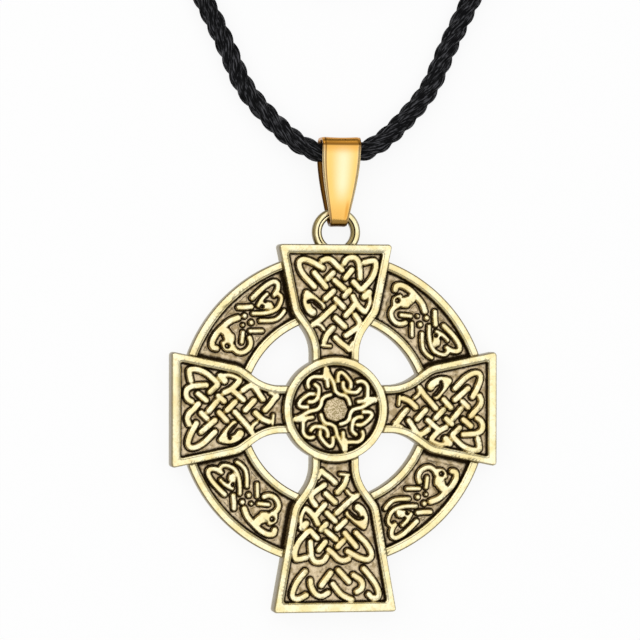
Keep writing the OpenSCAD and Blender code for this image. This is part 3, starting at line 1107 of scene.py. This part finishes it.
    def ring_face(self, at: np.ndarray, depths: list[np.ndarray]) -> dict[str, np.ndarray]:
        """The ring with its four panels, darker where an arm stands over it.

        Args:
            at: The points, one to a row.
            depths: Their depths inside each arm.

        Returns:
            The face, as relief gives it.
        """
        radius = np.hypot(at[:, 0], at[:, 1])
        outline = np.minimum(self.ring_r - radius, radius - self.ring_hole_r)
        inner, outer = self.ring_rims
        panel = np.minimum(self.ring_r - outer - radius, radius - self.ring_hole_r - inner)
        off_arms = np.min([-inside for inside in depths], axis=0)
        panel = np.where(panel > 0, np.minimum(panel, off_arms), panel)
        carved = np.full(len(at), FAR)
        for turn, shift in self.ring_panels:
            carved = np.minimum(carved, RING_BEASTS.distance(turned(at, -turn) - (0.0, shift)))
        height, edge = self.sunk(self.ring_h, panel, carved)
        edge = np.where(edge > 0, np.clip(self.by_arm * off_arms, 0.001, edge), edge)
        return {
            "height": height,
            "edge_mm": edge,
            "ledge_mm": np.minimum(panel, 0.0),
            "border_mm": np.abs(outline),
            "outline": outline,
        }

    def relief(self, at: np.ndarray) -> dict[str, np.ndarray]:
        """The carved face over the plane.

        Args:
            at: The points, one to a row.

        Returns:
            The height, edge_mm (the distance to the nearest raised edge, negative on raised
            parts), ledge_mm (the distance inside a rim's inner edge), border_mm (the distance to
            the edge of the level) and the outline's depth.
        """
        radius = np.hypot(at[:, 0], at[:, 1])
        boss_in = self.boss_r - radius
        depths = [self.arm_depth(arm, turned(at, -arm.turn)) for arm in self.arms]
        face = self.ring_face(at, depths)
        for arm, inside in zip(self.arms, depths):
            local = turned(at, -arm.turn)
            end_in = arm.reach - arm.end_rim - self.ledge - local[:, 1]
            panel = self.round_corner(inside - self.arm_rim - self.ledge, end_in)
            panel = np.where(panel > 0, np.minimum(panel, -boss_in), panel)
            self.overlay(face, inside, panel, arm.knot_distance(local))
        eighth = np.abs(np.mod(np.arctan2(at[:, 1], at[:, 0]), math.pi / 4) - math.pi / 8)
        disc = radius * np.cos(eighth) - self.disc_r * math.cos(math.pi / 8)
        quarters = [BOSS_QUARTER.distance(turned(at, -turn)) for turn in (0, 90, 180, 270)]
        carved = np.min([disc] + quarters, axis=0)
        self.overlay(face, boss_in, boss_in - self.boss_rim, carved)
        edge = face["edge_mm"]
        edge = np.where((boss_in > 0) & (edge > 0), self.in_boss * edge, edge)
        line_w, line_mark = self.disc_line
        face["edge_mm"] = np.where(disc < 0, np.where(disc > -line_w, line_mark, DISC_MARK), edge)
        deep, wide = self.boss_line
        inward = np.clip(face["outline"], 0.0, self.edge_r)
        rounding = self.edge_r - np.sqrt(self.edge_r**2 - (self.edge_r - inward) ** 2)
        face["height"] = face["height"] - deep * np.exp(-((boss_in / wide) ** 2)) - rounding
        return face

    def outward(self, at: np.ndarray) -> np.ndarray:
        """Unit vectors out of the outline, from the slope of depth across a small step.

        Args:
            at: Points on the outline.

        Returns:
            One vector for each point.
        """
        step = 0.02
        steps = ((step, 0.0), (0.0, step))
        return -unit(np.stack([self.depth(at + d) - self.depth(at - d) for d in steps], axis=1))

    def body(self) -> tuple[np.ndarray, np.ndarray]:
        """The cross without its loop: carved face, walls with a rounded lower edge, and flat back.

        Returns:
            The points and triangles.
        """
        side, end = self.arms[0].reach + self.margin, max(arm.reach for arm in self.arms) + self.margin
        side_x = self.arms[1].reach + 0.2
        flat, faces, rim = contour_mesh(self.depth, (-side_x, -end), (side_x, side), self.pitch)
        height = self.relief(flat)["height"]
        points = [np.column_stack([flat, height])]
        border = np.unique(rim)
        place = np.zeros(len(flat), dtype=int)
        place[border] = np.arange(len(border))
        around, normal, top = flat[border], self.outward(flat[border]), height[border]
        all_faces = [faces]
        above = rim
        first = len(flat)
        for inset, share, z in self.wall:
            points.append(np.column_stack([around - inset * normal, share * top + z]))
            below = first + place[rim]
            quads = np.column_stack([above[:, 0], below[:, 0], below[:, 1], above[:, 1]])
            all_faces += [quads[:, [0, 1, 2]], quads[:, [0, 2, 3]]]
            above = below
            first += len(border)
        corners, edges = [tuple(p) for p in around], [tuple(e) for e in place[rim]]
        filled = geometry.delaunay_2d_cdt(corners, edges, [], 0, 1e-6)
        _, _, triangles, sources, _, _ = filled
        source = np.array([ids[0] if ids else 0 for ids in sources])
        back = source[np.array(list(triangles))]
        back = back[self.depth(around[back].mean(1)) > 0.0]
        all_faces.append(back[:, ::-1] + first - len(border))
        return np.vstack(points), np.vstack(all_faces)

    def loop(self) -> tuple[np.ndarray, np.ndarray]:
        """The cast loop: a rounded ring with a fine groove round its face, its root in the top arm.

        Returns:
            The points and triangles.
        """
        inner, outer = self.loop_radii
        low, high = self.loop_z
        groove, bevel = self.loop_groove, self.loop_bevel
        outer_edge = [(outer, high - 0.3), (outer - 0.04, high - bevel), (outer - bevel, high - 0.03),
                      (outer - 0.3, high)]
        cut = [(groove + 0.12, high), (groove + 0.055, high - 0.02), (groove, high - bevel),
               (groove - 0.055, high - 0.02), (groove - 0.12, high)]
        inner_edge = [(inner + 0.22, high), (inner + 0.08, high - 0.05), (inner, high - bevel)]
        back = [(inner, low + bevel), (inner + bevel, low), (outer - bevel, low), (outer, low + bevel)]
        points, quads = lathe(np.array(outer_edge + cut + inner_edge + back), self.loop_steps)
        points[:, :2] += self.loop_at
        return points, np.vstack([quads[:, [0, 1, 2]], quads[:, [0, 2, 3]]])

    def build(self) -> bpy.types.Object:
        """Returns:
            Its object.
        """
        points, faces = self.body()
        loop_points, loop_faces = self.loop()
        faces = np.vstack([faces, loop_faces + len(points)])
        rough = mesh_object("cross_rough", np.vstack([points, loop_points]), faces)
        thin = rough.modifiers.new("thin", "DECIMATE")
        thin.ratio = min(1.0, self.most_faces / len(faces))
        seen = rough.evaluated_get(bpy.context.evaluated_depsgraph_get())
        mesh = bpy.data.meshes.new_from_object(seen)
        mesh.name = "cross_casting"
        bpy.data.objects.remove(rough)
        mesh.polygons.foreach_set("use_smooth", self.off_back(mesh))
        cross = bpy.data.objects.new("cross_casting", mesh)
        bpy.context.scene.collection.objects.link(cross)
        self.mark(mesh)
        mesh.materials.clear()
        mesh.materials.append(AntiqueGold().build())
        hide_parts("cross")
        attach(cross, "root")
        LOG.info("cross_casting: %d faces of %d", len(mesh.polygons), len(faces))
        return cross

    @staticmethod
    def off_back(mesh: bpy.types.Mesh) -> np.ndarray:
        """Tells which faces are off the flat back, so that the back's light stays even up to its edge.

        Args:
            mesh: The casting's mesh.

        Returns:
            One truth value for each face.
        """
        normals = np.empty(len(mesh.polygons) * 3, dtype=np.float32)
        mesh.polygons.foreach_get("normal", normals)
        return normals.reshape(-1, 3)[:, 2] > -0.99

    def mark(self, mesh: bpy.types.Mesh) -> None:
        """Stores the distances that the finish reads. Away from the carved face they give plain metal,
        with the dark painted edge shade over the walls and back.

        Args:
            mesh: The casting's mesh.
        """
        spots = np.empty(len(mesh.vertices) * 3, dtype=np.float32)
        mesh.vertices.foreach_get("co", spots)
        spots = spots.reshape(-1, 3).astype(float) / MM
        relief = self.relief(spots[:, :2])
        face = (spots[:, 2] > relief["height"] - 0.06) & (relief["outline"] > -0.05)
        past = relief["outline"] < -0.03
        on_loop = np.hypot(*(spots[:, :2] - self.loop_at).T)
        to_right = (spots[:, 0] - self.loop_at[0]) / np.maximum(on_loop, 0.1)
        # The loop's painted shade line, wider on the left outside and the right inside
        left_shade, right_shade = self.loop_shade
        outside = self.loop_radii[1] - on_loop - left_shade * np.maximum(-to_right, 0.0)
        inside = on_loop - self.loop_radii[0] - 0.08 - right_shade * np.maximum(to_right, 0.0)
        plain, in_groove = -0.6, 0.05
        # For each distance: its value off the carved face, and on the loop
        marks = {
            "edge_mm": (plain, np.where(np.abs(on_loop - self.loop_groove) < 0.09, in_groove, plain)),
            "ledge_mm": (0.0, 0.0),
            "border_mm": (0.12, np.maximum(np.minimum(outside, inside), 0.0)),
        }
        for name, (off, loop) in marks.items():
            store(mesh, name, np.where(past, loop, np.where(face, relief[name], off)))


# ---- The bail ----


@dataclass
class Bail:
    """The folded strip that hangs the cross: narrow at its fold, wide at its roll over the rope."""

    x: float = 0.35
    fold_y: float = 21.2
    length: float = 10.4
    top_w: float = 4.5
    fold_w: float = 1.9
    thickness: float = 0.4
    fold_mid: float = 1.45
    fold_r: float = 1.25
    back_z: float = 0.35
    depth: float = 4.4
    # Radii of the fold's back, the roll's back and front, and the fold's front
    radii: Point = (1.2, 1.6, 1.0, 1.2)
    dish: float = 0.09
    bevel: float = 0.08
    swell: float = 0.85
    swell_power: float = 1.2
    columns: int = 15
    rows: int = 220

    def side_line(self) -> np.ndarray:
        """The middle of the strip's thickness, seen from the side.

        Returns:
            A closed line of (y, z) at even steps.
        """
        top = self.fold_y + self.length
        outline = np.array([
            (self.fold_y, self.fold_mid - self.fold_r), (top, self.back_z),
            (top, self.back_z + self.depth), (self.fold_y, self.fold_mid + self.fold_r),
        ])
        arcs = rounded(outline, self.radii, self.thickness / 2)
        closed = np.vstack(arcs + [arcs[0][:1]])
        return resampled(closed, np.linspace(0.0, run_along(closed)[-1], self.rows, endpoint=False))

    def half_width(self, y: np.ndarray) -> np.ndarray:
        """Half the strip's width, which grows along it as a quarter sine to the power swell_power.

        Args:
            y: Places along the strip.

        Returns:
            One half width for each place.
        """
        share = np.clip((y - self.fold_y) / self.length / self.swell, 0.0, 1.0)
        growth = np.sin(share * math.pi / 2) ** self.swell_power
        return (self.fold_w + (self.top_w - self.fold_w) * growth) / 2

    def build(self) -> bpy.types.Object:
        """Builds the strip: a bevelled, slightly dished section carried round the side line.

        Returns:
            Its object.
        """
        line = self.side_line()
        y, z = line[:, :1], line[:, 1:]
        way = unit(np.roll(line, -1, axis=0) - np.roll(line, 1, axis=0))
        out_y, out_z = way[:, 1:], -way[:, :1]
        half = self.half_width(y)
        across = np.linspace(-1.0, 1.0, self.columns)
        share = np.concatenate([across, across[::-1]])[None]
        face = np.repeat((-1.0, 1.0), self.columns)[None]
        corner = np.abs(share) == 1.0
        x = share * np.where(corner, half, half - self.bevel)
        n = face * np.where(corner, self.thickness / 2 - self.bevel, self.thickness / 2)
        n = n - self.dish * (1.0 - share**2) * (half / half.max())
        points = np.stack([x + self.x, y + out_y * n, z + out_z * n], axis=2).reshape(-1, 3)
        bail = mesh_object("bail_strip", points, grid_faces(len(line), share.size, True, True))
        store(bail.data, "across", x / half)
        store(bail.data, "along", np.broadcast_to((y - self.fold_y) / self.length, x.shape))
        # The layer attribute marks the back leg, which the finish darkens as painted shade
        store(bail.data, "layer", np.broadcast_to(z < self.fold_mid, x.shape))
        bail.data.materials.append(BailGold().build())
        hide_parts("bail")
        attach(bail, "root")
        LOG.info("bail_strip: %d faces", len(bail.data.polygons))
        return bail


# ---- The rope and its clasp ----


@dataclass
class Necklace:
    """The rope's route: through the bail, up both sides, a coil of spare rope and a clasp."""

    diameter: float = 2.4
    seat: Point = (0.35, 29.75)
    coil_mid: Point = (-2.0, 66.0)
    coil_r: float = 10.6
    clasp_turn: float = 84.0
    clasp_half: float = 8.0
    socket_d: float = 3.0
    lay: float = 6.2
    around: int = 48
    step: float = 0.36
    # The share of R at which strands are centred, their softness, flattening and filled hollows
    strand_at: float = 0.536
    strand_share: float = 0.45
    flatten: float = 0.1
    hollow: float = 0.8
    fibre_lean: float = 0.35
    # Angles between which the coil moves from one lane to the next, on the floor and on top
    floor_turns: Point = (90, 380, 440, 740, 800, 1020)
    upper_turns: Point = (1090, 1310, 1370, 1620)
    coil_step: float = 6.0
    roll: float = 60.0
    least_rise: float = 0.85
    # Points from the seat: across, along, and the height of the rope's underside
    side: Route = ((0.0, 0.0, 1.15), (2.4, 0.1, 1.15), (5.2, 1.5, 0.8), (8.3, 4.4, 0.3), (11.0, 7.8, 0.0),
                   (13.0, 12.2, 0.0), (14.7, 15.7, 0.0), (15.7, 17.7, 0.0))
    to_coil: Route = ((16.4, 20.0, 0.1), (16.9, 22.8, 0.7), (17.1, 25.9, 1.6))
    to_clasp: Route = ((16.5, 19.6, 0.2), (17.0, 21.5, 0.7), (17.3, 23.0, 1.0), (17.5, 24.5, 1.0))
    tail: Route = ((19.3, 42.2, 0.9), (19.1, 44.2, 0.4), (18.4, 46.2, 0.1),
                   (17.1, 48.2, 0.0), (15.1, 49.9, 0.0),
                   (12.5, 51.3, 0.0), (9.8, 52.1, 0.0), (7.4, 52.4, 0.0), (5.0, 52.5, 0.0))
    onto_coil: Route = ((2.75, 52.25, 0.0), (0.35, 51.85, 0.0))
    off_coil: Route = ((-16.6, 33.6, 2.2), (-16.75, 31.2, 2.4), (-16.95, 28.2, 2.2))

    def on_clasp(self, along: float) -> Point:
        """The route point that lies a distance along the clasp's axis from its mouth.

        Args:
            along: The distance.

        Returns:
            The point.
        """
        turn = math.radians(self.clasp_turn)
        x, y, z = self.to_clasp[-1]
        return (x + along * math.cos(turn), y + along * math.sin(turn), z)

    def winding(self) -> np.ndarray:
        """The coil from its outer floor turn to its end on top.

        Three turns lie side by side on the floor from the outside in. The rope then rolls up over
        the middle one and lies in the hollows between them, at sqrt(d^2 - gap^2) over each rope
        that is a gap to its side.

        Returns:
            Points of x, y and the height of the rope's underside.
        """
        d, inner = self.diameter, self.coil_r
        down, up = self.floor_turns[-1], self.upper_turns[0]
        lanes = np.repeat((inner + 2 * d, inner + d, inner), 2)
        angle = np.arange(float(self.floor_turns[0]), self.upper_turns[-1] + 1.0, self.coil_step)
        floor_r = self.eased(angle, self.floor_turns, lanes)
        roll = np.radians(self.roll) * np.clip((angle - down) / (up - down), 0.0, 1.0)
        rising, upper = (angle > down) & (angle <= up), angle > up
        upper_r = self.eased(angle, self.upper_turns, np.repeat((inner + d / 2, inner + 1.5 * d), 2))
        radius = np.where(rising, inner + d - d * np.cos(roll), np.where(upper, upper_r, floor_r))
        height = np.where(rising, d * np.sin(roll), 0.0)
        for turns in (1, 2, 3, 4):
            below = angle - 360.0 * turns
            there = upper & (below >= self.floor_turns[0]) & (below <= down)
            gap = np.abs(self.eased(below, self.floor_turns, lanes) - upper_r)
            rest = np.sqrt(np.maximum(d * d - gap * gap, 0.0))
            height = np.where(there, np.maximum(height, rest), height)
        height = np.where(upper, np.maximum(height, d * self.least_rise), height)
        turn = np.radians(angle)
        x, y = self.coil_mid
        return np.column_stack([x + radius * np.cos(turn), y + radius * np.sin(turn), height])

    @staticmethod
    def eased(value: np.ndarray, knots: Point, levels: Point) -> np.ndarray:
        """Levels at knots, with a smooth step from each to the next.

        Args:
            value: Where the levels are wanted.
            knots: The knots, rising.
            levels: The level at each knot.

        Returns:
            One level for each value.
        """
        result = np.full(len(value), float(levels[0]))
        for (a, b), (low, high) in zip(zip(knots, knots[1:]), zip(levels, levels[1:])):
            result = result + (high - low) * ramp(value, a, b)
        return result

    def centreline(self) -> np.ndarray:
        """The whole rope's centreline at even steps, from the clasp's plug round to its socket.

        Returns:
            Points of x, y and z.
        """
        clasp_in = [self.on_clasp(self.socket_d), *reversed(self.to_clasp)]
        right, left = list(reversed(self.side)), [(-x, y, z) for x, y, z in self.side[1:] + self.to_coil]
        clasp_out = [self.on_clasp(2 * self.clasp_half), self.on_clasp(2 * self.clasp_half - self.socket_d)]
        shift = np.array([*self.seat, 0.0])
        head = np.array(clasp_in + right + left + list(reversed(self.off_coil))) + shift
        coil = self.winding()[::-1]
        end = np.array(list(reversed(self.onto_coil)) + list(reversed(self.tail)) + clasp_out) + shift
        line = np.vstack([head, coil, end])
        line[:, 2] += self.diameter / 2
        return smooth_path(line, self.step)

    def build(self, clasp: list[bpy.types.Object]) -> bpy.types.Object:
        """Builds the rope as one tube of three strands with a right-handed twist.

        With b as strand_at times R, a strand's section is a circle of s = R - b about a point b from
        the middle, so that the three just touch. In the polar form, r = b cos a +
        sqrt(s^2 - b^2 sin^2 a). Soft strands are rounder, and their hollows are filled to a share of R.

        Args:
            clasp: The clasp's pieces, which are not used.

        Returns:
            The rope's object.
        """
        line = self.centreline()
        way = unit(np.gradient(line, axis=0))
        side = unit(np.column_stack([-way[:, 1], way[:, 0], np.zeros(len(way))]))
        up = np.cross(way, side)
        run = run_along(line)
        around, big = self.around, self.diameter / 2
        phi = np.arange(around) * 2 * np.pi / around
        lobe = np.mod(phi, 2 * np.pi / 3) - np.pi / 3
        b = self.strand_at * big
        sharp = b * np.cos(lobe) + np.sqrt(np.maximum((big - b) ** 2 - (b * np.sin(lobe)) ** 2, 0.0))
        soft = big * (1.0 - self.flatten * (lobe / (np.pi / 3)) ** 2)
        reach = np.maximum(self.strand_share * sharp + (1 - self.strand_share) * soft, self.hollow * big)
        angle = phi[None, :] + 2 * np.pi * run[:, None] / self.lay
        ring = (np.cos(angle)[:, :, None] * side[:, None, :] + np.sin(angle)[:, :, None] * up[:, None, :])
        points = (line[:, None, :] + ring * reach[None, :, None]).reshape(-1, 3)
        quads = grid_faces(len(line), around, False, True)
        u = np.broadcast_to(run[:, None], (len(line), around + 1))
        v = np.broadcast_to(np.arange(around + 1)[None, :] / around * 3.0, u.shape) + u * self.fibre_lean
        i, j = np.divmod(np.arange(len(quads)), around)
        uv = np.stack([np.stack([u[i + di, j + dj], v[i + di, j + dj]], axis=1)
                       for di, dj in ((0, 0), (1, 0), (1, 1), (0, 1))], axis=1).reshape(-1, 2)
        quads = quads[:, ::-1]
        uv = uv.reshape(-1, 4, 2)[:, ::-1].reshape(-1, 2)
        rope = mesh_object("twisted_rope", points, quads, uv)
        rope.data.materials.append(BlackCord().build())
        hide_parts("rope", "rope_tail", "rope_coil")
        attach(rope, "root")
        LOG.info("twisted_rope: %.0f mm long, %d faces", run[-1], len(quads))
        return rope

    def build_clasp(self) -> list[bpy.types.Object]:
        """Gives the two halves of the barrel clasp their finish.

        Returns:
            The two halves.
        """
        finish = BrightGold().build()
        halves = []
        for name in ("clasp_plug", "clasp_socket"):
            half = bpy.data.objects.get(name)
            half.data.materials.clear()
            half.data.materials.append(finish)
            halves.append(half)
        return halves


# ---- The studio ----


@dataclass
class Studio:
    """A camera almost straight above the cross, a pale floor and soft lamps."""

    look_at: Point = (-1.84, 10.38, 2.4)
    view_w: float = 74.24
    lean: float = 10.0
    roll: float = 0.1
    lens: float = 180.0
    sensor: float = 36.0
    floor_half: float = 1500.0
    floor_z: float = -0.02
    dim: float = 0.42

    def camera(self) -> None:
        """Puts the camera above and a little to the left, so far that the view is view_w wide."""
        data = bpy.data.cameras.new("camera")
        data.lens, data.sensor_width = self.lens, self.sensor
        data.clip_start, data.clip_end = 0.01, 20.0
        camera = bpy.data.objects.new("camera", data)
        away = self.view_w * self.lens / self.sensor
        lean = math.radians(self.lean)
        x, y, z = self.look_at
        camera.location = ((x - away * math.sin(lean)) * MM, y * MM, (z + away * math.cos(lean)) * MM)
        camera.rotation_mode = "ZYX"
        camera.rotation_euler = (0.0, -lean, math.radians(self.roll))
        bpy.context.scene.collection.objects.link(camera)
        bpy.context.scene.camera = camera

    def floor(self) -> None:
        """Lays the floor just under the pendant."""
        size, z = self.floor_half, self.floor_z
        points = np.array([(-size, -size, z), (size, -size, z), (size, size, z), (-size, size, z)])
        floor = mesh_object("floor", points, np.array([[0, 1, 2, 3]]))
        floor.data.materials.append(PaleFloor().build())

    def lamp(self, name: str, place: Point, size: float, power: float) -> None:
        """Adds a square soft lamp that faces the pendant.

        Args:
            name: The lamp's name.
            place: Where it stands, in metres.
            size: Its side, in metres.
            power: Its power, in watts.
        """
        data = bpy.data.lights.new(name, "AREA")
        data.shape, data.size, data.energy = "SQUARE", size, power
        lamp = bpy.data.objects.new(name, data)
        lamp.location = place
        lamp.rotation_euler = (-Vector(place)).to_track_quat("-Z", "Y").to_euler()
        bpy.context.scene.collection.objects.link(lamp)

    def light(self) -> None:
        """Sets up the lamps and a dim world that the camera sees as white."""
        self.lamp("overhead softbox", place=(-0.1, 0.15, 0.9), size=1.9, power=10.8)
        self.lamp("side softbox", place=(-0.7, 0.6, 0.5), size=0.35, power=1.1)
        world = bpy.data.worlds.new("studio")
        bpy.context.scene.world = world
        nodes = Nodes(world, "ShaderNodeOutputWorld")
        dim, white = nodes.add(Kind.SKY, WHITE, self.dim), nodes.add(Kind.SKY, WHITE, 1.0)
        nodes.show(nodes.add(Kind.BLEND, nodes.add(Kind.CAMERA_RAY), dim, white))
        bpy.context.scene.view_settings.view_transform = "Standard"


def corners(box: tuple) -> list[list[float]]:
    """A box's lowest and highest corner as plain lists."""
    return [list(map(float, corner)) for corner in box]


def main() -> None:
    """Loads the frame and builds the pendant and its studio."""
    logging.basicConfig(level=logging.INFO, format="%(name)s %(message)s")
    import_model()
    studio = Studio()
    studio.camera()
    necklace = Necklace()
    necklace.build(necklace.build_clasp())
    CrossCasting().build()
    Bail().build()
    studio.floor()
    studio.light()


if __name__ == "__main__":
    main()
